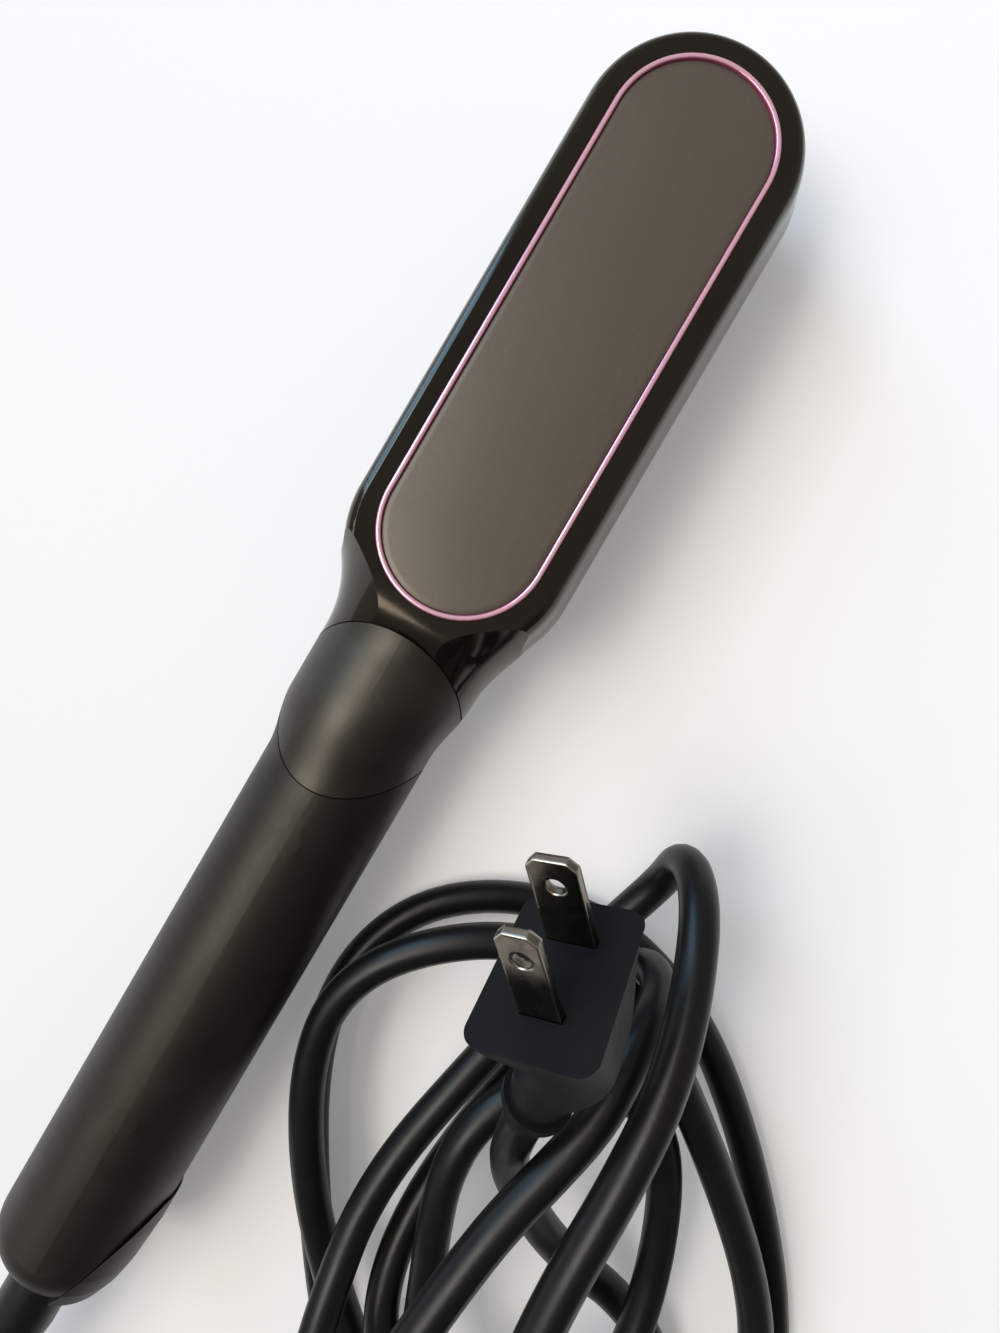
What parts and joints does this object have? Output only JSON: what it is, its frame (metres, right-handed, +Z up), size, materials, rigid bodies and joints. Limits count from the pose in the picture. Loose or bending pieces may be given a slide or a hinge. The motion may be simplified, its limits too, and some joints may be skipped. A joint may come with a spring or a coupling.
{
  "type": "hair straightening brush",
  "caption": "Hair straightening brush with a heated comb, guard teeth, round handle with press buttons, swivelling mains cord and two-blade plug.",
  "frame": {"origin": "below the middle of the brush, on the surface that it lies on", "axes": "+X along the brush to the tip of the head, +Y to its left seen from the back, +Z up through the back of the head"},
  "size_m": [0.3767, 0.1893, 0.0874],
  "materials": {
    "gloss_black": "glossy moulded black with a warm cast",
    "pink_metal": "pink metallic lacquer",
    "plate_grey": "fine matt brown-grey",
    "satin_black": "satin soft-touch black",
    "guard_black": "matt heat-resistant black",
    "comb_metal": "dark ceramic coating on die-cast metal",
    "steel": "plain plated steel",
    "mica": "translucent mica",
    "ceramic": "off-white",
    "glass_bead": "glazed bead",
    "panel_black": "smooth black",
    "button_grey": "matt dark grey",
    "lens": "smoked diffuser",
    "board_green": "green solder mask",
    "capacitor_yellow": "yellow box",
    "brass": "rolled brass",
    "cord_rubber": "smooth soft black",
    "nickel": "nickel-plated brass",
    "wire_white": "white sleeve"
  },
  "bodies": {
    "handle": {"accent_ring": "pink_metal", "back_plate": "plate_grey", "back_shell": "gloss_black", "board_screws": "steel", "ceramic_heaters": "ceramic", "circuit_board": "board_green", "clamp_screws": "steel", "contact_springs": "brass", "control_panel": "panel_black", "controller_chip": "panel_black", "cord_coil": "cord_rubber", "cord_lead": "cord_rubber", "cord_tail": "cord_rubber", "filter_capacitor": "capacitor_yellow", "front_frame": "gloss_black", "handle_front_shell": "satin_black", "handle_rear_shell": "satin_black", "handle_screws": "steel", "head_screws": "steel", "heater_clamp": "steel", "heater_comb": "comb_metal", "heater_leads": "wire_white", "indicator_leds": "lens", "indicator_lens": "lens", "mains_leads": "wire_white", "mica_sheet": "mica", "neck_cover": "satin_black", "neck_screws": "steel", "neck_sleeve": "ceramic", "plug_blades": "nickel", "plug_body": "cord_rubber", "plug_neck": "cord_rubber", "swivel_bush": "panel_black", "tact_switches": "panel_black", "tail_cover": "satin_black", "thermal_fuse": "steel", "thermistor": "glass_bead", "tooth_guard": "guard_black", "triac": "panel_black"},
    "power_button": {"power_button": "button_grey"},
    "plus_button": {"plus_button": "button_grey"},
    "minus_button": {"minus_button": "button_grey"},
    "cord_swivel": {"strain_relief": "cord_rubber", "swivel_core": "panel_black", "slip_rings": "brass"}
  },
  "joints": [
    {"name": "power_press", "type": "slide", "parent": "handle", "child": "power_button", "axis": [0, 0, 1], "range_m": [0, 0.0006], "stiffness_N_per_m": 150, "springref_m": -0.003},
    {"name": "plus_press", "type": "slide", "parent": "handle", "child": "plus_button", "axis": [0, 0, 1], "range_m": [0, 0.0006], "stiffness_N_per_m": 150, "springref_m": -0.003},
    {"name": "minus_press", "type": "slide", "parent": "handle", "child": "minus_button", "axis": [0, 0, 1], "range_m": [0, 0.0006], "stiffness_N_per_m": 150, "springref_m": -0.003},
    {"name": "cord_turn", "type": "hinge", "parent": "handle", "child": "cord_swivel", "pos_m": [-0.144, 0, 0.018], "axis": [1, 0, 0], "continuous": true}
  ]
}
